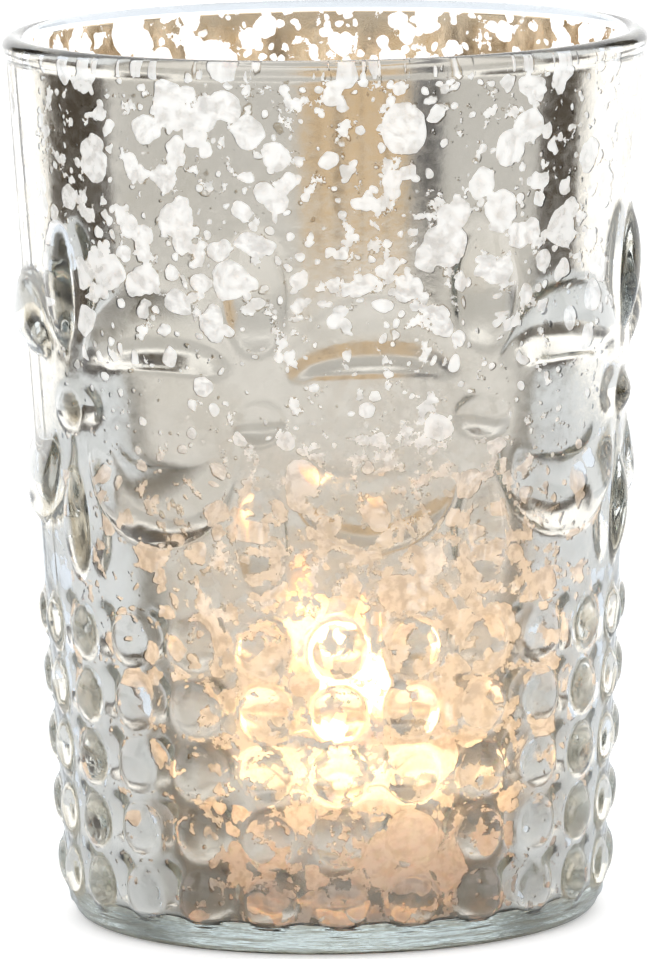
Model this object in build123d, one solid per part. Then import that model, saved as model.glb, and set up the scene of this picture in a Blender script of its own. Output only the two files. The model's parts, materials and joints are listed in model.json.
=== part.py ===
"""Tealight holder: a tapered pressed-glass tumbler with a moulded pattern, silvered inside, and a tealight.

Millimetres, +Z up. The origin is the centre of the base, on the surface that the holder stands on.
A pattern angle is measured about Z from the front (-Y) towards +X, and one round moon motif faces the front.
"""
import os
from math import atan, cos, degrees, pi, radians, sin, sqrt

from build123d import *

# ---- the tumbler's wall ----
HEIGHT = 102.0
WALL_RADIUS_AT_BASE = 30.7  # outer wall, extended down to z = 0
WALL_FLARE = 0.060  # outer radius gained per millimetre of height
BORE_RADIUS_AT_BASE = 27.5  # inner wall, extended down to z = 0
BORE_FLARE = 0.067
BEAD_RADIUS = 1.4  # section of the fire-polished rim bead
RIM_RADIUS = 37.0  # outside of the bead
FLOOR_Z = 3.2  # top of the glass floor
FLOOR_CORNER = 1.0  # radius where the bore meets the floor
BASE_CORNER = 2.0  # radius of the base's outer edge
FOOT_DRAFT = 0.3  # how far the plain foot draws in from the wall's own line by the time it reaches z = 0
FOOT_INNER_RADIUS = 24.0  # the resting ring's inner edge
FOOT_RECESS = 1.1  # rise of the hollow under the base
BAND_FOOT_Z = 3.2  # where the plain clear foot meets the patterned wall

# ---- the moulded pattern, all around the wall ----
MOTIFS = 8  # round motifs, each made of two facing moons
HOBNAIL_COLUMNS = 24
HOBNAIL_ROWS = 5
HOBNAIL_FIRST_Z = 6.2
HOBNAIL_PITCH_Z = 7.3
HOBNAIL_RADIUS = 2.9  # footprint
HOBNAIL_PROUD = 1.05
MOTIF_Z = 59.6
# an upright or lying oval: height on the wall, half width, half height, how far it stands proud
UPPER_OVAL = dict(z=75.5, half_width=3.5, half_height=6.6, proud=1.4)
LOWER_OVAL = dict(z=47.7, half_width=2.7, half_height=6.0, proud=1.3)
CENTRE_OVAL = dict(z=61.0, half_width=3.0, half_height=2.1, proud=1.0)
# a moon's middle line: its tips' angle above or below the motif's centre, and its radius there and at
# the crown; its section leans so that its lower flank is the steep one
UPPER_MOON = dict(side=1, tip_angle=36.0, tip_radius=12.0, crown_radius=12.2, half_width=4.4, lean=-9.0)
LOWER_MOON = dict(side=-1, tip_angle=16.0, tip_radius=9.2, crown_radius=8.0, half_width=4.7, lean=8.0)
MOON_HALF_DEPTH = 1.9
MOON_SINK = 0.6  # how far the section's middle lies inside the wall
MOON_TIP_SIZE = 0.12  # of the crown's section
MOON_FULLNESS = 0.8  # below 1, the section stays large for longer towards the tips
MOON_SECTIONS = 9
SEAMS = 4
SEAM_WIDTH_ANGLE = 0.5
SEAM_PROUD = 0.12
SEAM_TOP_Z = 97.5
SEAM_ROOT = 0.8  # how deep the seam's root is set into the wall

# ---- the silvering ----
FILM_THICKNESS = 0.15
FILM_TOP_Z = 100.8

# ---- the tealight ----
TEALIGHT_X = 2.5  # it stands a little off the middle of the floor
TEALIGHT_RADIUS = 19.0
CUP_HEIGHT = 15.0
CUP_WALL = 0.5
CUP_FLOOR = 0.6
CUP_FOOT_RADIUS = 18.0  # where the cup's floor turns up into its wall
CUP_LIP_RADIUS = 0.45
WAX_GAP = 0.25
WAX_HEIGHT = 12.0  # at the cold outer edge
POOL_RADIUS = 14.5
POOL_DEPTH = 0.7
POOL_BANK = (1.5, 0.15)  # the slope round the pool: how wide, and how far its top lies below the edge
WAX_SHOULDER = (0.6, 0.4)  # the shrunk outer edge of the wax: how wide, and how deep
WICK_RADIUS = 0.75
WICK_ABOVE_WAX = 2.2
WICK_BEND_RADIUS = 3.0
WICK_BEND_ANGLE = 40.0
FIT = 0.05  # clearance around the wick and the sustainer
SUSTAINER_RADIUS = 6.5
SUSTAINER_SHEET = 0.3
NECK_RADIUS = 1.25
NECK_HEIGHT = 3.2
NECK_FLARE = (0.5, 0.6)  # the neck's root: how much wider, and how high

WALL_LEAN = atan(WALL_FLARE)
SEAT_Z = FLOOR_Z + FILM_THICKNESS  # what the tealight stands on
WAX_Z = SEAT_Z + CUP_FLOOR


def wall_radius(z):
    return WALL_RADIUS_AT_BASE + WALL_FLARE * z


def bore_radius(z):
    return BORE_RADIUS_AT_BASE + BORE_FLARE * z


def on_wall(angle, z):
    """A plane touching the wall there: x runs round the wall, y up it, and z points out of it."""
    a = radians(angle)
    radius = wall_radius(z)
    out = (sin(a) * cos(WALL_LEAN), -cos(a) * cos(WALL_LEAN), -sin(WALL_LEAN))
    return Plane(origin=(radius * sin(a), -radius * cos(a), z), x_dir=(cos(a), sin(a), 0), z_dir=out)


def turned(profile):
    """A closed outline in the XZ plane, turned about Z."""
    return revolve(Plane.XZ * make_face(profile), Axis.Z)


def bore(inset, top):
    """The space inside the wall, smaller by inset, from its floor up to top."""
    floor = FLOOR_Z + inset
    outline = Polyline(
        (0, floor),
        (bore_radius(floor) - inset, floor),
        (bore_radius(top) - inset, top),
        (0, top),
        close=True,
    )
    solid = turned(outline)
    corner = solid.edges().filter_by(GeomType.CIRCLE).sort_by(Axis.Z)[0]
    return fillet(corner, FLOOR_CORNER - inset)


def tumbler_blank():
    """The solid outside shape, with the bead and the hollow foot, before the bore is cut."""
    shoulder_z = HEIGHT - BEAD_RADIUS
    outline = Polyline(
        (0, 0),
        (wall_radius(0) - FOOT_DRAFT, 0),
        (wall_radius(BAND_FOOT_Z), BAND_FOOT_Z),
        (wall_radius(shoulder_z), shoulder_z),
        (0, shoulder_z),
        close=True,
    )
    blank = turned(outline)
    rim = blank.edges().filter_by(GeomType.CIRCLE).sort_by(Axis.Z)[0]
    blank = fillet(rim, BASE_CORNER)
    hollow_radius = (FOOT_INNER_RADIUS**2 + FOOT_RECESS**2) / (2 * FOOT_RECESS)
    hollow = Pos(0, 0, FOOT_RECESS - hollow_radius) * Sphere(hollow_radius)
    return blank - hollow


def bead():
    return Pos(0, 0, HEIGHT - BEAD_RADIUS) * Torus(RIM_RADIUS - BEAD_RADIUS, BEAD_RADIUS)


def hobnail():
    """A ball about the Z axis, of which a round cap stands above z = 0."""
    ball = (HOBNAIL_RADIUS**2 + HOBNAIL_PROUD**2) / (2 * HOBNAIL_PROUD)
    return Pos(0, 0, HOBNAIL_PROUD - ball) * Sphere(ball)


def oval(half_width, half_height, proud, **_):
    """A pointed spindle along Y, of which an oval lens stands above z = 0."""
    girth = (half_width**2 + proud**2) / (2 * proud)
    depth = girth - proud
    # the spindle's arc passes through the lens's ends, which lie in the z = 0 plane
    arc_radius = (half_height**2 + proud**2) / (2 * proud)
    reach = sqrt(arc_radius**2 - (arc_radius - girth) ** 2)
    half = make_face(ThreePointArc((0, -reach), (girth, 0), (0, reach)) + Line((0, reach), (0, -reach)))
    return Pos(0, 0, -depth) * revolve(half, Axis.Y)


def lying_oval(half_width, half_height, proud, **_):
    return Rot(0, 0, 90) * oval(half_height, half_width, proud)


def moon(motif_angle, side, tip_angle, tip_radius, crown_radius, half_width, lean):
    """One crescent of a motif: side is 1 above the motif's centre and -1 below it."""
    tilt = radians(lean)
    sections = []
    for i in range(MOON_SECTIONS):
        share = i / (MOON_SECTIONS - 1)
        swell = sin(pi * share)
        around = radians(tip_angle + (180 - 2 * tip_angle) * share)
        middle = tip_radius + (crown_radius - tip_radius) * swell
        z = MOTIF_Z + side * middle * sin(around)
        angle = motif_angle + degrees(middle * cos(around) / wall_radius(z))
        wall = on_wall(angle, z)
        outward = wall.x_dir * cos(around) + wall.y_dir * (side * sin(around))
        across = outward * cos(tilt) + wall.z_dir * sin(tilt)
        along = outward.cross(wall.z_dir) * -side
        size = MOON_TIP_SIZE + (1 - MOON_TIP_SIZE) * swell**MOON_FULLNESS
        plane = Plane(origin=wall.origin - wall.z_dir * (MOON_SINK * size), x_dir=across, z_dir=along)
        sections.append(plane * Ellipse(half_width * size, MOON_HALF_DEPTH * size))
    return loft(sections)


def seam(angle):
    """The fine upright fin where two leaves of the mould meet."""
    outline = Polyline(
        (wall_radius(BAND_FOOT_Z) - SEAM_ROOT, BAND_FOOT_Z),
        (wall_radius(BAND_FOOT_Z) + SEAM_PROUD, BAND_FOOT_Z),
        (wall_radius(SEAM_TOP_Z) + SEAM_PROUD, SEAM_TOP_Z),
        (wall_radius(SEAM_TOP_Z) - SEAM_ROOT, SEAM_TOP_Z),
        close=True,
    )
    fin = revolve(Plane.XZ * make_face(outline), Axis.Z, revolution_arc=SEAM_WIDTH_ANGLE)
    return Rot(0, 0, angle - 90 - SEAM_WIDTH_ANGLE / 2) * fin


def raised_pattern():
    features = []
    nail = hobnail()
    upper, lower, centre = oval(**UPPER_OVAL), oval(**LOWER_OVAL), lying_oval(**CENTRE_OVAL)
    step = 360 / MOTIFS
    for column in range(HOBNAIL_COLUMNS):
        angle = step / 2 + column * 360 / HOBNAIL_COLUMNS
        for row in range(HOBNAIL_ROWS):
            z = HOBNAIL_FIRST_Z + row * HOBNAIL_PITCH_Z
            features.append(on_wall(angle, z).location * nail)
    for motif in range(MOTIFS):
        angle = motif * step
        features.append(moon(angle, **UPPER_MOON))
        features.append(moon(angle, **LOWER_MOON))
        between = angle + step / 2
        for shape, at in ((upper, UPPER_OVAL), (lower, LOWER_OVAL), (centre, CENTRE_OVAL)):
            features.append(on_wall(between, at["z"]).location * shape)
    for i in range(SEAMS):
        features.append(seam(i * 360 / SEAMS))
    return features


def glass_tumbler():
    body = tumbler_blank().fuse(bead(), *raised_pattern())
    return body - bore(0, HEIGHT + 1)


def silver_lining():
    """The silvered film on the bore and the floor, with its lacquer."""
    outside = bore(0, FILM_TOP_Z)
    return outside - bore(FILM_THICKNESS, FILM_TOP_Z + 1)


def at_tealight(solid):
    return Pos(TEALIGHT_X, 0, 0) * solid


def tealight_cup():
    rim_z = SEAT_Z + CUP_HEIGHT - CUP_LIP_RADIUS
    inner = TEALIGHT_RADIUS - CUP_WALL
    foot = TEALIGHT_RADIUS - CUP_FOOT_RADIUS
    outline = Polyline(
        (0, SEAT_Z),
        (CUP_FOOT_RADIUS, SEAT_Z),
        (TEALIGHT_RADIUS, SEAT_Z + foot),
        (TEALIGHT_RADIUS, rim_z),
        (inner, rim_z),
        (inner, WAX_Z + foot),
        (CUP_FOOT_RADIUS - CUP_WALL, WAX_Z),
        (0, WAX_Z),
        close=True,
    )
    lip = Pos(0, 0, rim_z) * Torus(TEALIGHT_RADIUS - CUP_WALL / 2, CUP_LIP_RADIUS)
    return at_tealight(turned(outline) + lip)


def wick_axis():
    straight_top = WAX_Z + WAX_HEIGHT - POOL_DEPTH + WICK_ABOVE_WAX
    start = WAX_Z + SUSTAINER_SHEET
    upright = Line((0, 0, start), (0, 0, straight_top))
    bend = radians(WICK_BEND_ANGLE)
    centre_x = WICK_BEND_RADIUS
    half = bend / 2
    middle = (centre_x - WICK_BEND_RADIUS * cos(half), 0, straight_top + WICK_BEND_RADIUS * sin(half))
    tip = (centre_x - WICK_BEND_RADIUS * cos(bend), 0, straight_top + WICK_BEND_RADIUS * sin(bend))
    return upright + ThreePointArc((0, 0, straight_top), middle, tip)


def wick():
    section = Plane.XY.offset(WAX_Z + SUSTAINER_SHEET) * Circle(WICK_RADIUS)
    return at_tealight(sweep(section, path=wick_axis()))


def wick_sustainer():
    """The stamped disc under the wax, with the neck that grips the wick."""
    neck_top = WAX_Z + SUSTAINER_SHEET + NECK_HEIGHT
    hole = WICK_RADIUS + FIT
    wider, high = NECK_FLARE
    outline = Polyline(
        (0, WAX_Z),
        (SUSTAINER_RADIUS, WAX_Z),
        (SUSTAINER_RADIUS, WAX_Z + SUSTAINER_SHEET),
        (NECK_RADIUS + wider, WAX_Z + SUSTAINER_SHEET),
        (NECK_RADIUS, WAX_Z + SUSTAINER_SHEET + high),
        (NECK_RADIUS, neck_top),
        (hole, neck_top),
        (hole, WAX_Z + SUSTAINER_SHEET),
        (0, WAX_Z + SUSTAINER_SHEET),
        close=True,
    )
    return at_tealight(turned(outline))


def wax_fill():
    """The wax, with the pool melted around the wick and the room that the sustainer takes."""
    foot = TEALIGHT_RADIUS - CUP_FOOT_RADIUS
    outer = TEALIGHT_RADIUS - CUP_WALL - WAX_GAP
    edge_z = WAX_Z + WAX_HEIGHT
    pool_z = edge_z - POOL_DEPTH
    bank_width, bank_drop = POOL_BANK
    shoulder_width, shoulder_depth = WAX_SHOULDER
    outline = Polyline(
        (WICK_RADIUS + FIT, WAX_Z),
        (outer - foot, WAX_Z),
        (outer, WAX_Z + foot),
        (outer, edge_z - shoulder_depth),
        (outer - shoulder_width, edge_z),
        (POOL_RADIUS + bank_width, edge_z - bank_drop),
        (POOL_RADIUS, pool_z),
        (WICK_RADIUS + FIT, pool_z),
        close=True,
    )
    wider, high = NECK_FLARE
    room_outline = Polyline(
        (0, WAX_Z - 1),
        (SUSTAINER_RADIUS + FIT, WAX_Z - 1),
        (SUSTAINER_RADIUS + FIT, WAX_Z + SUSTAINER_SHEET + FIT),
        (NECK_RADIUS + wider + FIT, WAX_Z + SUSTAINER_SHEET + FIT),
        (NECK_RADIUS + FIT, WAX_Z + SUSTAINER_SHEET + high + FIT),
        (NECK_RADIUS + FIT, WAX_Z + SUSTAINER_SHEET + NECK_HEIGHT + FIT),
        (0, WAX_Z + SUSTAINER_SHEET + NECK_HEIGHT + FIT),
        close=True,
    )
    return at_tealight(turned(outline) - turned(room_outline))


PARTS = (glass_tumbler, silver_lining, tealight_cup, wax_fill, wick, wick_sustainer)

os.makedirs("parts", exist_ok=True)
for make in PARTS:
    solid = make()
    export_step(solid, f"parts/{make.__name__}.step")
    print(make.__name__, round(solid.volume, 1), solid.bounding_box().size)
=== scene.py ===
"""The look of the tealight holder: pressed glass, speckled silvering inside, a lit tealight, and a studio.

Metres, +Z up, in the row's frame. The sizes of the tumbler and its silvering, and the places in materials,
are in millimetres.
"""
import json
from math import cos, pi, radians, sin

import bpy
import numpy as np
from mathutils import Matrix, Vector

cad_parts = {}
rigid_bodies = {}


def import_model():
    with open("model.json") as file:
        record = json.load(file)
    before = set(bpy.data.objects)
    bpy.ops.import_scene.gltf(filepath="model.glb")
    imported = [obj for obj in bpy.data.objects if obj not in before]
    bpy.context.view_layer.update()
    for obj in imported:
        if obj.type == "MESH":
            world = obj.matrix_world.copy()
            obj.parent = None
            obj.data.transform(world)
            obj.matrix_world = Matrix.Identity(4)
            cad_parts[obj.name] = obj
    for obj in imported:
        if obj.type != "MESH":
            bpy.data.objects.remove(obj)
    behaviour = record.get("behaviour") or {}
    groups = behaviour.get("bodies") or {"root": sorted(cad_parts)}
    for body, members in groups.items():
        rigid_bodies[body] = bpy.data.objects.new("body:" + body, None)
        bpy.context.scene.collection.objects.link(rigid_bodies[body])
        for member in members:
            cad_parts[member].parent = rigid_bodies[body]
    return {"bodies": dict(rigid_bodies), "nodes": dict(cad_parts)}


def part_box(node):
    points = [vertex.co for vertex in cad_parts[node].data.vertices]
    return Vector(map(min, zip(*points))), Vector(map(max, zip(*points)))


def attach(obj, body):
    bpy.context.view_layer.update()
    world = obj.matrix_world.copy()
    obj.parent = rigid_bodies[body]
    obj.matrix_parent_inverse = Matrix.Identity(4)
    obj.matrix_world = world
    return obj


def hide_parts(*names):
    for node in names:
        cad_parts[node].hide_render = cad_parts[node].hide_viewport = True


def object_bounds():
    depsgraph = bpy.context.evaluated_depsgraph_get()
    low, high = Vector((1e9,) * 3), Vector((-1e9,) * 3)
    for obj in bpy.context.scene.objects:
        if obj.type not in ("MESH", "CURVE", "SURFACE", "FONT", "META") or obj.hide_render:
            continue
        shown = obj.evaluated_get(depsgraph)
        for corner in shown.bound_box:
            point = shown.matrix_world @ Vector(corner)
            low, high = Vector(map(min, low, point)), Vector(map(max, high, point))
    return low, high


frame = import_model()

CAD_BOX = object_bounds()
MM = 0.001

# ---- the tumbler, in millimetres, as in the part's source ----
HEIGHT = CAD_BOX[1][2] / MM
RIM_RADIUS = CAD_BOX[1][0] / MM
WALL_RADIUS_AT_BASE = 30.7
WALL_FLARE = 0.060
BORE_RADIUS_AT_BASE = 27.5
BORE_FLARE = 0.067
BEAD_RADIUS = 1.4
FLOOR_Z = 3.2
FLOOR_CORNER = 1.0
FOOT_DRAFT = 0.3  # the base is this much smaller than the wall's own line would make it
BASE_CORNER = 2.0
BASE_RADIUS = WALL_RADIUS_AT_BASE - FOOT_DRAFT
FOOT_INNER_RADIUS = 24.0
FOOT_FADE = 1.0  # the foot's grey, a painted shade, ends this far above the bowl's floor
FOOT_RECESS = 1.1
MOTIFS = 8  # crescent pairs round the wall, with ovals midway between them
HOBNAIL_COLUMNS = 24
HOBNAIL_ROWS = 5
HOBNAIL_FIRST_Z = 6.2
HOBNAIL_PITCH_Z = 7.3
HOBNAIL_RADIUS = 2.9
HOBNAIL_PROUD = 1.05
HOBNAIL_FULLNESS = 0.5  # the lower a boss's fullness is, the flatter its top and the steeper its edge
OVAL_FULLNESS = 0.8
OVALS = (  # middle height, half width, half height, how far it stands proud
    (75.5, 3.5, 6.6, 1.4),
    (47.7, 2.7, 6.0, 1.3),
    (61.0, 3.0, 2.1, 1.0),
)
MOTIF_Z = 59.6
MOONS = (  # side, tips' angle, radius of the middle line at the tips and at the crown, half width, lean
    (1, radians(36), 12.0, 12.2, 4.4, radians(-9)),
    (-1, radians(16), 9.2, 8.0, 4.7, radians(8)),
)
MOON_HALF_DEPTH = 1.9
MOON_SINK = 0.6
MOON_TIP_SIZE = 0.12
MOON_FULLNESS = 0.8  # the lower it is, the sooner a crescent widens from its tips
SEAMS = 4
SEAM_PROUD = 0.10
SEAM_SPREAD = radians(0.4)

# ---- how finely the glass is meshed ----
TURNS = 480  # points round the tumbler
FILM_TURNS = 240  # points round the silvering, which has no pattern
PATTERN_STEP = 0.68  # height of one row of the patterned wall, in millimetres
PATTERN_FOOT = BASE_CORNER + 0.2  # the patterned wall starts at this height
PATTERN_HEADROOM = 1.5  # and ends this far below the bead's middle
BASE_ARC = (-90, -4)  # degrees, from underneath out to the wall
BEAD_ARC = (-38, 170)  # degrees, from the wall outside round to the bore
CORNER_POINTS = 7
BEAD_POINTS = 17
BORE_ROWS = 12
HOLLOW_RINGS = 7
BORE_HEADROOM = 0.4  # the bore starts this far below the bead's middle
EDGE = 0.15  # the rings beside a sharp edge lie this close to it, so that it shades as an edge

# ---- the silvering, in millimetres ----
FILM_BOND = 0.03  # how far the silver face lies into the glass that it is bonded to
FILM_THICKNESS = 0.1
FILM_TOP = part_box("silver_lining")[1][2] / MM
DROPS = (  # the lattice's cell, the drops' radius in cells where holes are rarest and where commonest, shift
    (8.0, 0.0, 0.33, 0.0),
    (5.0, 0.02, 0.40, 31.0),
    (3.2, 0.07, 0.42, 7.0),
    (1.6, 0.13, 0.36, 53.0),
)
DROP_EDGE = 0.10  # a drop's edge fades over this much
LATTICE_SHIFT = (1.0, 1.7, 0.6)  # the direction in which each size's lattice is shifted from the others
LEAST_HOLES = 0.12  # 0 is where holes are rarest, and 1 where they are commonest
WORN_MIDDLE = (0.0, -29.3, 27.0)  # the film is most broken on the front of the wall, level with the flame
WORN_SQUAT = 0.62  # under 1, that patch is taller than it is wide
WORN_FAR, WORN_NEAR = 36, 8  # how far from its middle that patch ends, and how far it is whole
WORN_RAGGED = 30.0  # how far the patch's border wanders in and out
MILKY_FROM, MILKY_TO = 46, 66  # heights between which the holes turn from clear to milky, and their painted glow grows stronger

# ---- the candle ----
CUP_LOW, CUP_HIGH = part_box("tealight_cup")
CANDLE_X = (CUP_LOW[0] + CUP_HIGH[0]) / 2
WAX_LOW, WAX_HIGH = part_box("wax_fill")
WICK_LOW, WICK_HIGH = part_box("wick")
FLAME_HEIGHT = 0.019
FLAME_RADIUS = 0.0034
FLAME_SINK = 0.0016  # the flame starts this far below the wick's tip
FLAME_LEAN = 0.0012
FLAME_RINGS = 26
FLAME_TURNS = 40
GLOW_POWER = 0.11  # watts of the light inside the flame
GLOW_COLOUR = (1.0, 0.63, 0.29)
GLOW_RADIUS = 0.004

# ---- the studio ----
WHITE = (1.0, 1.0, 1.0, 1)
TABLE_RADIUS = 0.33
TABLE_TURNS = 96
TABLE_Z = -0.05  # millimetres, just under the glass
TABLE_BEFORE = (0.61, 0.60, 0.585, 1)  # in front of the holder, as the glass sees it
TABLE_PAINTED_SHADE = (0.17, 0.16, 0.14, 1)  # a painted shade just before the foot, where the holder would shade it
TABLE_BESIDE = (0.58, 0.62, 0.67, 1)
DARK = (0.055, 0.045, 0.035, 1)
SURROUNDINGS = (  # degrees round from the camera: from, to; heights on a unit sphere: from, to; colour
    (-131, -90, -0.6, 0.01, DARK),
    (-9, 32, -0.6, 0.01, (0.50, 0.38, 0.25, 1)),
    (34, 45, -0.6, 0.01, (0.12, 0.12, 0.125, 1)),
    (88, 114, -0.6, 0.01, DARK),
    (-82, -62, 0.08, 0.5, DARK),
    (62, 82, 0.08, 0.5, DARK),
    (-152, -136, 0.08, 0.5, DARK),
    (136, 152, 0.08, 0.5, DARK),
)
SIDE_BLUR = 3  # degrees
END_BLUR = 0.05  # height on the unit sphere
RAMBLE = 14.0  # degrees by which the upright edges wander
GRAIN_EVERY = 9.0  # degrees between the dark upright lines in those things
GRAIN_COLOUR = (0.02, 0.016, 0.012, 1)
ROOM = (0.39, 0.385, 0.375, 1)  # behind the camera, above the table
ROOM_HALF_ANGLE, ROOM_BLUR = 55, 20  # degrees
FLOOR = (0.42, 0.415, 0.405, 1)  # behind the camera, below the table
FLOOR_HALF_ANGLE, FLOOR_BLUR = 95, 15  # degrees
WORLD_STRENGTH = 1.5

# ---- the camera ----
TURN = radians(-8.5)  # it stands this far round from the front, towards -X
LOOK_DOWN = radians(8.3)
DISTANCE = 1.10
LENS = 359
AIM_HEIGHT = 0.0500
AIM_LEFT = 0.0005  # the view's middle is this far left of the axis
ROLL = radians(0.77)


# ================= the glass =================

def wall_radius(z):
    return WALL_RADIUS_AT_BASE + WALL_FLARE * z


def bore_radius(z):
    return BORE_RADIUS_AT_BASE + BORE_FLARE * z


def from_nearest(angle, step):
    """The signed angle to the nearest whole multiple of step."""
    return (angle + step / 2) % step - step / 2


def boss(across, up, half_width, half_height, proud, fullness):
    """Height of an oval boss."""
    inside = np.clip(1 - (across / half_width) ** 2 - (up / half_height) ** 2, 0, 1)
    return proud * inside**fullness


def hobnails(angle, z):
    across = from_nearest(angle - pi / MOTIFS, 2 * pi / HOBNAIL_COLUMNS) * wall_radius(z)
    row = np.clip(np.round((z - HOBNAIL_FIRST_Z) / HOBNAIL_PITCH_Z), 0, HOBNAIL_ROWS - 1)
    up = z - HOBNAIL_FIRST_Z - row * HOBNAIL_PITCH_Z
    return boss(across, up, HOBNAIL_RADIUS, HOBNAIL_RADIUS, HOBNAIL_PROUD, HOBNAIL_FULLNESS)


def ovals(angle, z):
    across = from_nearest(angle - pi / MOTIFS, 2 * pi / MOTIFS) * wall_radius(z)
    bosses = (boss(across, z - middle, *size, OVAL_FULLNESS) for middle, *size in OVALS)
    return sum(bosses)


def moon(angle, z, side, tip_angle, tip_radius, crown_radius, half_width, lean):
    """One of the two facing crescents of each round motif: side is 1 above its centre and -1 below it."""
    across = np.abs(from_nearest(angle, 2 * pi / MOTIFS)) * wall_radius(z)
    up = side * (z - MOTIF_Z)
    around = np.arctan2(up, across)
    share = np.clip((around - tip_angle) / (pi - 2 * tip_angle), 0, 0.5)
    swell = np.sin(pi * share)
    size = MOON_TIP_SIZE + (1 - MOON_TIP_SIZE) * swell**MOON_FULLNESS
    middle = tip_radius + (crown_radius - tip_radius) * swell
    outward = np.hypot(across, up) - middle
    past_tip = np.hypot(across - tip_radius * cos(tip_angle), up - tip_radius * sin(tip_angle))
    distance = np.where(around < tip_angle, past_tip, np.abs(outward))
    place = np.sign(outward) * distance / (half_width * size)
    dome = np.sqrt(np.clip(1 - place**2, 0, 1))
    height = MOON_HALF_DEPTH * dome - MOON_SINK + half_width * sin(lean) * place
    return np.where(np.abs(place) < 1, np.clip(size * height, 0, None), 0)


def seams(angle):
    return SEAM_PROUD * np.exp(-((from_nearest(angle, 2 * pi / SEAMS) / SEAM_SPREAD) ** 2))


def softened(height):
    """The relief with its edges melted a little, as by fire polishing. Rows go up, and columns go round."""
    height = (np.roll(height, 1, axis=1) + 2 * height + np.roll(height, -1, axis=1)) / 4
    above = np.vstack([height[1:], height[-1:]])
    below = np.vstack([height[:1], height[:-1]])
    return (above + 4 * height + below) / 6


def arc(centre_r, centre_z, radius, start, end, count):
    """Points of a circular arc in the (radius, height) plane; the angles are in degrees."""
    turns = np.radians(np.linspace(start, end, count))
    return [(centre_r + radius * cos(t), centre_z + radius * sin(t)) for t in turns]


def underside():
    """From the middle of the base out to the wall, in millimetres."""
    shares = np.linspace(0, 1, HOLLOW_RINGS + 1)[1:]
    hollow = [(FOOT_INNER_RADIUS * s, FOOT_RECESS * (1 - s * s)) for s in shares]
    return hollow + arc(BASE_RADIUS - BASE_CORNER, BASE_CORNER, BASE_CORNER, *BASE_ARC, CORNER_POINTS)


def bore_profile(inset, top):
    """The inside of the wall from the height top down to the floor's middle, smaller by inset."""
    floor = FLOOR_Z + inset
    corner = FLOOR_CORNER - inset
    foot = floor + corner
    heights = [top, top - EDGE, *np.linspace(top - 2 * EDGE, foot, BORE_ROWS)]
    wall = [(bore_radius(z) - inset, z) for z in heights]
    corner_r = bore_radius(foot) - inset - corner
    turn = arc(corner_r, foot, corner, 0, -90, CORNER_POINTS)[1:]
    floor_rings = [(corner_r * s, floor) for s in (0.8, 0.6, 0.4, 0.2)]
    return wall + turn + floor_rings


def rings_to_mesh(name, rings, close):
    """A mesh of equal rings of points (metres). With close, a point caps the first ring and the last."""
    rings = np.asarray(rings)
    count, turns = rings.shape[:2]
    points = rings.reshape(-1, 3)
    row = np.arange(turns)
    after = (row + 1) % turns
    faces = []
    for i in range(count - 1):
        low, high = i * turns, (i + 1) * turns
        faces.append(np.column_stack([low + row, low + after, high + after, high + row]))
    faces = np.vstack(faces).tolist()
    if close:
        for ring, first in ((0, True), (count - 1, False)):
            centre = len(points)
            points = np.vstack([points, rings[ring].mean(axis=0)])
            low = ring * turns
            pairs = (after, row) if first else (row, after)
            faces += np.column_stack([low + pairs[0], low + pairs[1], np.full(turns, centre)]).tolist()
    mesh = bpy.data.meshes.new(name)
    mesh.from_pydata(points.tolist(), [], faces)
    mesh.polygons.foreach_set("use_smooth", [True] * len(mesh.polygons))
    mesh.update()
    piece = bpy.data.objects.new(name, mesh)
    bpy.context.scene.collection.objects.link(piece)
    return piece


def turned_rings(profile, turns):
    """Rings of points, in metres, for a profile of (radius, height) points in millimetres."""
    angle = np.linspace(0, 2 * pi, turns, endpoint=False)
    across, back = np.sin(angle), np.cos(angle)
    return [np.column_stack([r * across, -r * back, np.full(turns, z)]) * MM for r, z in profile]


def glass_tumbler():
    bead_z = HEIGHT - BEAD_RADIUS
    heights = np.arange(PATTERN_FOOT, bead_z - PATTERN_HEADROOM, PATTERN_STEP)
    angle, z = np.meshgrid(np.linspace(0, 2 * pi, TURNS, endpoint=False), heights)
    moons = (moon(angle, z, *shape) for shape in MOONS)
    raised = np.maximum.reduce([hobnails(angle, z), ovals(angle, z), seams(angle), *moons])
    radius = wall_radius(z) + softened(raised)
    wall = np.stack([radius * np.sin(angle), -radius * np.cos(angle), z], axis=2) * MM
    bead = arc(RIM_RADIUS - BEAD_RADIUS, bead_z, BEAD_RADIUS, *BEAD_ARC, BEAD_POINTS)
    rings = turned_rings(underside(), TURNS) + list(wall) + turned_rings(bead, TURNS)
    rings += turned_rings(bore_profile(0, bead_z - BORE_HEADROOM), TURNS)
    piece = rings_to_mesh("pressed_glass", rings, close=True)
    piece.data.materials.append(glass_material())
    return piece


# ================= materials =================

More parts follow.
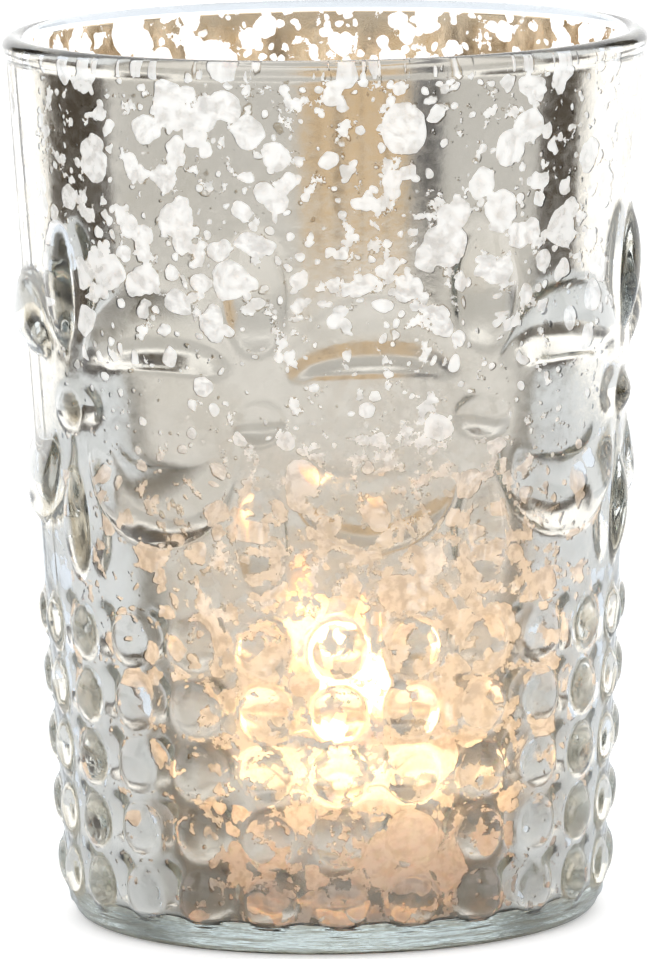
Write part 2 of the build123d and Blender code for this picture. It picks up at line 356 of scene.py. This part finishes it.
class Nodes:
    """A material's or world's node tree, with short calls to add and link nodes. Lengths are in mm."""

    def __init__(self, owner):
        owner.use_nodes = True
        self.tree = owner.node_tree
        self.tree.nodes.clear()

    def add(self, kind, inputs=None, **settings):
        node = self.tree.nodes.new(kind)
        for key, value in settings.items():
            setattr(node, key, value)
        for key, value in (inputs or {}).items():
            if isinstance(value, bpy.types.NodeSocket):
                self.tree.links.new(value, node.inputs[key])
            else:
                node.inputs[key].default_value = value
        return node

    def math(self, operation, *values):
        return self.add("ShaderNodeMath", dict(enumerate(values)), operation=operation).outputs[0]

    def vector(self, operation, *values):
        """The resulting vector, or the number where the operation gives one."""
        node = self.add("ShaderNodeVectorMath", dict(enumerate(values)), operation=operation)
        return node.outputs["Value" if operation in ("DISTANCE", "DOT_PRODUCT") else "Vector"]

    def scaled(self, vector, size):
        inputs = {0: vector, "Scale": size}
        return self.add("ShaderNodeVectorMath", inputs, operation="SCALE").outputs["Vector"]

    def height(self, place):
        return self.add("ShaderNodeSeparateXYZ", {"Vector": place}).outputs["Z"]

    def between(self, value, low, high, at_low=0.0, at_high=1.0):
        """A smooth ramp of value from low to high."""
        inputs = {"Value": value, "From Min": low, "From Max": high, "To Min": at_low, "To Max": at_high}
        return self.add("ShaderNodeMapRange", inputs, interpolation_type="SMOOTHSTEP").outputs["Result"]

    def within(self, value, low, high, blur):
        """1 from low to high, fading to 0 on both sides."""
        above = self.between(value, low - blur, low + blur)
        return self.math("MULTIPLY", above, self.between(value, high + blur, high - blur))

    def blend(self, share, first, second):
        """A colour that goes from first to second."""
        inputs = {0: share, 6: first, 7: second}
        return self.add("ShaderNodeMix", inputs, data_type="RGBA").outputs[2]

    def mix(self, share, first, second):
        """A shader that goes from first to second."""
        return self.add("ShaderNodeMixShader", {0: share, 1: first, 2: second}).outputs[0]

    def object_mm(self):
        """The object's own coordinates."""
        return self.scaled(self.add("ShaderNodeTexCoord").outputs["Object"], 1 / MM)

    def noise(self, place, size, detail=2.0, roughness=0.5):
        inputs = {"Vector": place, "Scale": 1 / size, "Detail": detail, "Roughness": roughness}
        return self.add("ShaderNodeTexNoise", inputs).outputs["Fac"]

    def bump(self, height, distance, strength):
        inputs = {"Height": height, "Distance": distance * MM, "Strength": strength}
        return self.add("ShaderNodeBump", inputs).outputs[0]

    def surface(self, shader, volume=None):
        output = self.add("ShaderNodeOutputMaterial", {"Surface": shader})
        if volume:
            self.tree.links.new(volume, output.inputs["Volume"])


def new_material(name):
    material = bpy.data.materials.new(name)
    return material, Nodes(material)


def glass_material():
    """Pressed soda-lime glass: a gently wavy skin, and a foot scored by the mould and tinted grey as a
    painted shade.
    """
    material, n = new_material("pressed_glass")
    place = n.object_mm()
    # 1 at the foot: there the glass is tinted grey as a painted shade, darker towards the bottom, and scored
    #                by the mould
    foot = n.between(n.height(place), FLOOR_Z + FOOT_FADE, FLOOR_Z)
    waves = n.noise(place, 9.0, 1.0)
    fine = n.noise(place, 2.2, 2.0)
    level = n.vector("MULTIPLY", place, (0.08, 0.08, 1.0))
    scored = n.math("MULTIPLY", foot, n.noise(level, 0.5, 2.0))
    height = n.math("MULTIPLY_ADD", scored, 2.0, n.math("MULTIPLY_ADD", fine, 0.12, waves))
    shader = n.add("ShaderNodeBsdfPrincipled", {
        "Base Color": n.blend(foot, (0.985, 0.995, 0.995, 1), (0.62, 0.65, 0.65, 1)),
        "Roughness": 0.0,
        "IOR": 1.5,
        "Transmission Weight": 1.0,
        "Normal": n.bump(height, 0.12, 0.9),
    })
    depth = n.add("ShaderNodeVolumeAbsorption", {"Color": (0.80, 0.88, 0.90, 1), "Density": 20.0})
    n.surface(shader.outputs[0], depth.outputs[0])
    return material


def drops(n, place, cell, radius, shift):
    """1 inside drops about the points of a random lattice. The radius is in cells and may be a socket."""
    moved = n.vector("ADD", place, [shift * s for s in LATTICE_SHIFT])
    spots = n.add("ShaderNodeTexVoronoi", {"Vector": moved, "Scale": 1 / cell, "Randomness": 1.0})
    inside = n.math("SUBTRACT", radius, spots.outputs["Distance"])
    return n.between(inside, 0, DROP_EDGE / cell)


def worn_patch(n, place):
    """1 on the part of the wall nearest the flame, fading raggedly to 0 with distance."""
    flat = n.vector("MULTIPLY", place, (1, 1, WORN_SQUAT))
    middle = (WORN_MIDDLE[0], WORN_MIDDLE[1], WORN_MIDDLE[2] * WORN_SQUAT)
    away = n.vector("DISTANCE", flat, middle)
    tilt = {"Vector": place, "Rotation": (0.5, 0.4, 0.6)}
    tilted = n.add("ShaderNodeVectorRotate", tilt, rotation_type="EULER_XYZ").outputs[0]
    wander = n.noise(tilted, 11.0)
    ragged = n.math("MULTIPLY_ADD", wander, WORN_RAGGED, n.math("SUBTRACT", away, WORN_RAGGED / 2))
    return n.between(ragged, WORN_FAR, WORN_NEAR)


def film_holes(n, place):
    """1 where the silvering is missing: drops and ragged clusters, thick near the rim and by the flame."""
    z = n.height(place)
    wobble = n.add("ShaderNodeTexNoise", {"Vector": place, "Scale": 0.55, "Detail": 2.0}).outputs["Color"]
    wobble = n.vector("SUBTRACT", wobble, (0.5, 0.5, 0.5))
    bent = n.vector("ADD", place, n.scaled(wobble, n.between(z, 40, 60, 2.0, 1.0)))
    upper = n.between(z, 60, 78, 0.18, 0.85)  # heights, then how common the holes are there
    lower = n.math("MULTIPLY", n.between(z, 4, 34, 0.30, 0.62), n.between(z, 64, 50))
    worn = worn_patch(n, place)
    level = n.math("MAXIMUM", n.math("MAXIMUM", upper, lower), n.math("MULTIPLY", worn, 0.85))
    level = n.math("ADD", level, LEAST_HOLES)
    holes = 0.0
    for cell, rarest, commonest, shift in DROPS:
        moved = n.vector("ADD", place, (shift, 0, 0))
        crowd = n.between(n.noise(moved, cell * 1.6), 0.36, 0.62, 0.25, 1.25)  # drops come in clusters
        radius = n.math("MULTIPLY_ADD", n.math("MULTIPLY", level, crowd), commonest - rarest, rarest)
        holes = n.math("MAXIMUM", holes, drops(n, bent, cell, radius, shift))
    lace = n.noise(place, 2.4, 5.0, 0.62)
    torn_at = n.math("MULTIPLY_ADD", worn, -0.10, n.math("MULTIPLY_ADD", level, -0.10, 0.68))
    torn = n.between(n.math("SUBTRACT", lace, torn_at), 0, 0.012)  # ragged tears
    mottle = n.between(n.noise(place, 1.8, 4.0), 0.3, 0.6, 0.1, 0.6)
    thin = n.math("MULTIPLY", worn, mottle)  # film worn thin by the flame
    return n.math("MAXIMUM", n.math("MAXIMUM", holes, torn), thin)


def silvering_shader(n, place, metal, tarnish):
    """Metal with a faint cloudiness."""
    cloud = n.noise(place, 12.0, 3.0)
    fine = n.noise(place, 1.1, 3.0)
    return n.add("ShaderNodeBsdfPrincipled", {
        "Base Color": n.blend(n.between(cloud, 0.4, 0.75), metal, tarnish),
        "Metallic": 1.0,
        "Roughness": n.between(fine, 0.3, 0.8, 0.08, 0.16),
        "Normal": n.bump(n.math("MULTIPLY_ADD", fine, 0.25, cloud), 0.1, 0.3),
    }).outputs[0]


def silver_material():
    """The silver face, seen through the glass. Its holes are clear."""
    material, n = new_material("silver_side")
    place = n.object_mm()
    metal = silvering_shader(n, place, (0.88, 0.835, 0.765, 1), (0.82, 0.77, 0.685, 1))
    clear = n.add("ShaderNodeBsdfTransparent").outputs[0]
    n.surface(n.mix(film_holes(n, place), metal, clear))
    return material


def lacquer_material():
    """The lacquered face inside. In the silvering's holes the lacquer alone is left: milky near the rim, like
    frosted glass, and thinner and clearer lower down, where it glows with the flame's own light. The holes
    also carry a painted white glow (emission), standing in for light shining through them, strongest where
    they are milky."""
    material, n = new_material("lacquer_side")
    place = n.object_mm()
    metal = silvering_shader(n, place, (0.64, 0.55, 0.42, 1), (0.56, 0.45, 0.31, 1))
    mottle = n.between(n.noise(place, 1.3, 5.0, 0.6), 0.36, 0.62)
    # milky also sets how strong the holes' painted glow is
    milky = n.between(n.height(place), MILKY_FROM, MILKY_TO)
    milk = n.blend(mottle, (0.78, 0.78, 0.78, 1), (0.99, 0.99, 0.99, 1))
    # a painted white glow in the holes, standing in for light shining through them
    painted_hole_glow = n.math("MULTIPLY", n.between(milky, 0, 1, 0.12, 0.52), n.between(mottle, 0, 1, 0.78, 1.04))
    front = n.add("ShaderNodeBsdfPrincipled", {
        "Base Color": milk,
        "Roughness": 0.6,
        "Emission Color": (1, 0.99, 0.97, 1),
        "Emission Strength": painted_hole_glow,
    }).outputs[0]
    through = n.add("ShaderNodeBsdfTranslucent", {"Color": milk}).outputs[0]
    frost = n.mix(n.between(milky, 0, 1, 0.62, 0.1), front, through)
    clear = n.add("ShaderNodeBsdfTransparent").outputs[0]
    cover = n.math("MULTIPLY", n.between(mottle, 0, 1, 0.85, 0.98), n.between(milky, 0, 1, 0.72, 1.0))
    hole = n.mix(cover, clear, frost)
    n.surface(n.mix(film_holes(n, place), metal, hole))
    return material


def silver_lining():
    """The silvering: a silver face against the glass and a browner lacquered face inside."""
    outer = bore_profile(-FILM_BOND, FILM_TOP)
    inner = bore_profile(FILM_THICKNESS - FILM_BOND, FILM_TOP)
    profile = outer[::-1] + inner
    piece = rings_to_mesh("speckled_silvering", turned_rings(profile, FILM_TURNS), close=True)
    piece.data.materials.append(silver_material())
    piece.data.materials.append(lacquer_material())
    last_outer_ring = (len(outer) - 1) * FILM_TURNS
    for face in piece.data.polygons:
        face.material_index = 1 if face.vertices[0] > last_outer_ring else 0
    return piece


def cup_material():
    """Thin clear polycarbonate, with the faint ripple of thermoforming."""
    material, n = new_material("clear_cup")
    ripple = n.noise(n.object_mm(), 3.5, 1.0)
    shader = n.add("ShaderNodeBsdfPrincipled", {
        "Base Color": (0.97, 0.97, 0.95, 1),
        "Roughness": n.between(ripple, 0.3, 0.7, 0.04, 0.16),
        "IOR": 1.2,
        "Transmission Weight": 1.0,
        "Normal": n.bump(ripple, 0.05, 0.6),
    })
    n.surface(shader.outputs[0])
    return material


def wax_material():
    """Paraffin with a painted glow (emission) standing in for its flame's light from within: brightest at the
    top and near the wick.
    """
    material, n = new_material("glowing_wax")
    place = n.object_mm()
    z = n.height(place)
    low, high = WAX_LOW[2] / MM, WAX_HIGH[2] / MM
    from_wick = n.vector("DISTANCE", place, (CANDLE_X / MM, 0, high))
    near = n.between(from_wick, 20, 2)
    cloud = n.noise(place, 4.0, 3.0)
    painted_wax_glow_colour = n.blend(near, (1.0, 0.50, 0.20, 1), (1.0, 0.66, 0.30, 1))
    # a painted glow standing in for the flame's light inside the wax, stronger higher up
    glow = n.math("MULTIPLY", n.between(z, low - 6, high, 0.35, 0.8), n.between(cloud, 0.3, 0.7, 0.9, 1.08))
    shader = n.add("ShaderNodeBsdfPrincipled", {
        "Base Color": n.blend(cloud, (0.93, 0.86, 0.76, 1), (0.97, 0.92, 0.84, 1)),
        "Roughness": n.between(cloud, 0.3, 0.7, 0.32, 0.5),
        "Subsurface Weight": 0.6,
        "Subsurface Radius": (0.006, 0.003, 0.0015),
        "Subsurface Scale": 1.0,
        "Emission Color": painted_wax_glow_colour,
        "Emission Strength": glow,
        "Normal": n.bump(cloud, 0.1, 0.4),
    })
    n.surface(shader.outputs[0])
    return material


def wick_material():
    """Braided cotton, cream where it stands in wax and charred above it, with a glowing tip."""
    material, n = new_material("braided_wick")
    place = n.object_mm()
    z = n.height(place)
    wave = {"Vector": place, "Scale": 0.9, "Distortion": 1.5}
    braid = n.add("ShaderNodeTexWave", wave, bands_direction="DIAGONAL").outputs["Fac"]
    wax_top, tip = WAX_HIGH[2] / MM, WICK_HIGH[2] / MM
    burnt = n.between(z, wax_top - 0.5, wax_top + 1.0)
    cotton = n.blend(braid, (0.62, 0.55, 0.42, 1), (0.85, 0.80, 0.68, 1))
    shader = n.add("ShaderNodeBsdfPrincipled", {
        "Base Color": n.blend(burnt, cotton, (0.02, 0.015, 0.012, 1)),
        "Roughness": 0.9,
        "Emission Color": (1.0, 0.25, 0.05, 1),
        "Emission Strength": n.between(z, tip - 1.0, tip, 0.0, 1.5),
        "Normal": n.bump(braid, 0.2, 0.8),
    })
    n.surface(shader.outputs[0])
    return material


def tin_material():
    """Stamped tinplate."""
    material, n = new_material("tinplate")
    grain = n.noise(n.object_mm(), 0.8, 4.0)
    shader = n.add("ShaderNodeBsdfPrincipled", {
        "Base Color": n.blend(grain, (0.55, 0.54, 0.52, 1), (0.72, 0.71, 0.69, 1)),
        "Metallic": 1.0,
        "Roughness": n.between(grain, 0.3, 0.7, 0.25, 0.4),
        "Normal": n.bump(grain, 0.05, 0.4),
    })
    n.surface(shader.outputs[0])
    return material


FLAME_STOPS = (  # share of the flame's height, colour
    (0.0, (0.10, 0.18, 0.60, 1)),
    (0.12, (1.0, 0.45, 0.12, 1)),
    (0.35, (1.0, 0.72, 0.32, 1)),
    (0.7, (1.0, 0.62, 0.22, 1)),
    (1.0, (1.0, 0.35, 0.08, 1)),
)


def flame_material(low, high):
    """A candle flame: blue and thin at its foot, white-yellow in its body, orange at its tip."""
    material, n = new_material("flame")
    share = n.between(n.height(n.object_mm()), low / MM, high / MM)
    ramp = n.add("ShaderNodeValToRGB", {"Fac": share})
    marks = ramp.color_ramp.elements
    while len(marks) < len(FLAME_STOPS):
        marks.new(0.5)
    for mark, (position, colour) in zip(marks, FLAME_STOPS):
        mark.position = position
        mark.color = colour
    shader = n.add("ShaderNodeBsdfPrincipled", {
        "Base Color": (0.0, 0.0, 0.0, 1),
        "Emission Color": ramp.outputs["Color"],
        "Emission Strength": n.between(share, 0.0, 0.2, 1.0, 7.0),
        "Alpha": n.between(share, 0.0, 0.25, 0.25, 0.95),
    })
    n.surface(shader.outputs[0])
    return material


# ================= the candle =================

def flame():
    """A drop of flame around the wick's tip, and the place of the light inside it."""
    low = WICK_HIGH[2] - FLAME_SINK
    wick_x = (WICK_LOW[0] + WICK_HIGH[0]) / 2
    angle = np.linspace(0, 2 * pi, FLAME_TURNS, endpoint=False)
    rings = []
    for share in np.linspace(0.015, 0.995, FLAME_RINGS):
        swell = sin(pi * share**0.62) ** 0.9 * (1 - 0.25 * share)
        radius = FLAME_RADIUS * max(swell, 0.01)
        x = wick_x + FLAME_LEAN * share**2 + radius * np.sin(angle)
        y = -radius * np.cos(angle)
        rings.append(np.column_stack([x, y, np.full(FLAME_TURNS, low + FLAME_HEIGHT * share)]))
    piece = rings_to_mesh("flame", rings, close=True)
    piece.data.materials.append(flame_material(low, low + FLAME_HEIGHT))
    return piece, Vector((wick_x, 0, low + FLAME_HEIGHT * 0.45))


def flame_light(place):
    lamp = bpy.data.lights.new("flame_light", "POINT")
    lamp.energy = GLOW_POWER
    lamp.color = GLOW_COLOUR
    lamp.shadow_soft_size = GLOW_RADIUS
    light = bpy.data.objects.new("flame_light", lamp)
    bpy.context.scene.collection.objects.link(light)
    light.location = place
    light.parent = frame["bodies"]["candle"]
    light.matrix_parent_inverse = Matrix.Identity(4)


# ================= the studio =================

def studio_world():
    """White all round, with a few darker things in it that only reflections and the glass see."""
    world = bpy.data.worlds.new("studio")
    n = Nodes(world)
    way = n.add("ShaderNodeTexCoord").outputs["Generated"]
    ramble = n.add("ShaderNodeTexNoise", {"Vector": way, "Scale": 9.0, "Detail": 3.0}).outputs["Fac"]
    axes = n.add("ShaderNodeSeparateXYZ", {"Vector": way})
    x, y, z = axes.outputs["X"], axes.outputs["Y"], axes.outputs["Z"]
    round_z = n.math("ARCTAN2", x, n.math("MULTIPLY", y, -1))
    turned = n.math("MULTIPLY", n.math("SUBTRACT", round_z, TURN), 180 / pi)
    turned = n.math("MULTIPLY_ADD", n.math("SUBTRACT", ramble, 0.5), RAMBLE, turned)
    grain = n.math("FRACT", n.math("MULTIPLY", turned, 1 / GRAIN_EVERY))
    grain = n.math("ABSOLUTE", n.math("SUBTRACT", grain, 0.5))
    grain = n.between(grain, 0.0, 0.12, 0.25, 1.0)
    ahead = n.within(turned, -ROOM_HALF_ANGLE, ROOM_HALF_ANGLE, ROOM_BLUR)
    above = n.math("MULTIPLY", n.between(z, 0.0, 0.06), n.between(z, 0.42, 0.28))
    colour = n.blend(n.math("MULTIPLY", ahead, above), WHITE, ROOM)
    before = n.within(turned, -FLOOR_HALF_ANGLE, FLOOR_HALF_ANGLE, FLOOR_BLUR)
    colour = n.blend(n.math("MULTIPLY", before, n.between(z, 0.06, -0.04)), colour, FLOOR)
    for start, end, bottom, top, thing in SURROUNDINGS:
        sides = n.within(turned, start, end, SIDE_BLUR)
        ends = n.within(z, bottom, top, END_BLUR)
        lined = n.blend(grain, GRAIN_COLOUR, thing)
        colour = n.blend(n.math("MULTIPLY", sides, ends), colour, lined)
    seen = n.add("ShaderNodeLightPath").outputs["Is Camera Ray"]
    colour = n.blend(seen, colour, WHITE)
    background = n.add("ShaderNodeBackground", {"Color": colour, "Strength": WORLD_STRENGTH})
    n.add("ShaderNodeOutputWorld", {"Surface": background.outputs[0]})
    bpy.context.scene.world = world


def table():
    """The table top, a stage object. It is white to the eye, and a soft grey to the glass above it, with a
    painted shade just before the foot.
    """
    profile = [(TABLE_RADIUS / MM * s, TABLE_Z) for s in (1.0, 0.75, 0.5, 0.25, 0.02)]
    top = rings_to_mesh("table", turned_rings(profile, TABLE_TURNS), close=False)
    material, n = new_material("white_table")
    grain = n.noise(n.object_mm(), 6.0, 3.0)
    seen = n.add("ShaderNodeLightPath").outputs["Is Camera Ray"]
    forward = n.vector("DOT_PRODUCT", n.object_mm(), (sin(TURN), -cos(TURN), 0))  # in front of the axis
    tone = n.blend(n.between(forward, 5, 70), TABLE_BESIDE, TABLE_BEFORE)
    # a painted shade on the table just before the foot, seen only by the glass
    near = n.math("MULTIPLY", n.between(forward, 20, 32), n.between(forward, 78, 38))
    tone = n.blend(near, tone, TABLE_PAINTED_SHADE)
    shader = n.add("ShaderNodeBsdfPrincipled", {
        "Base Color": n.blend(seen, tone, n.blend(grain, (0.92, 0.92, 0.92, 1), (0.95, 0.95, 0.95, 1))),
        "Roughness": 0.7,
        "Emission Color": WHITE,
        "Emission Strength": n.math("MULTIPLY", seen, 0.25),
    })
    n.surface(shader.outputs[0])
    top.data.materials.append(material)


def camera():
    data = bpy.data.cameras.new("camera")
    data.lens = LENS
    data.sensor_width = 36
    data.clip_end = 10
    eye = bpy.data.objects.new("camera", data)
    bpy.context.scene.collection.objects.link(eye)
    right = Vector((cos(TURN), sin(TURN), 0))
    target = right * -AIM_LEFT + Vector((0, 0, AIM_HEIGHT))
    back = Vector((sin(TURN) * cos(LOOK_DOWN), -cos(TURN) * cos(LOOK_DOWN), sin(LOOK_DOWN)))
    turn = back.to_track_quat("Z", "Y").to_matrix().to_4x4()
    eye.matrix_world = Matrix.Translation(target + back * DISTANCE) @ turn @ Matrix.Rotation(-ROLL, 4, "Z")
    bpy.context.scene.camera = eye


def render_quality():
    """Plain colours, and enough bounces for light to get through two glass walls and the film's holes."""
    scene = bpy.context.scene
    scene.view_settings.view_transform = "Standard"
    scene.cycles.use_denoising = True
    scene.cycles.max_bounces = 24
    scene.cycles.transmission_bounces = 24
    scene.cycles.glossy_bounces = 12
    scene.cycles.transparent_max_bounces = 32
    scene.cycles.sample_clamp_indirect = 6.0


# ================= putting it together =================

camera()
studio_world()
table()
render_quality()

glass = glass_tumbler()
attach(glass, "holder")
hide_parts("glass_tumbler")

film = silver_lining()
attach(film, "holder")
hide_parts("silver_lining")

for node, material in (
    ("tealight_cup", cup_material()),
    ("wax_fill", wax_material()),
    ("wick", wick_material()),
    ("wick_sustainer", tin_material()),
):
    data = frame["nodes"][node].data
    data.materials.clear()
    data.materials.append(material)

fire, fire_middle = flame()
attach(fire, "candle")
flame_light(fire_middle)
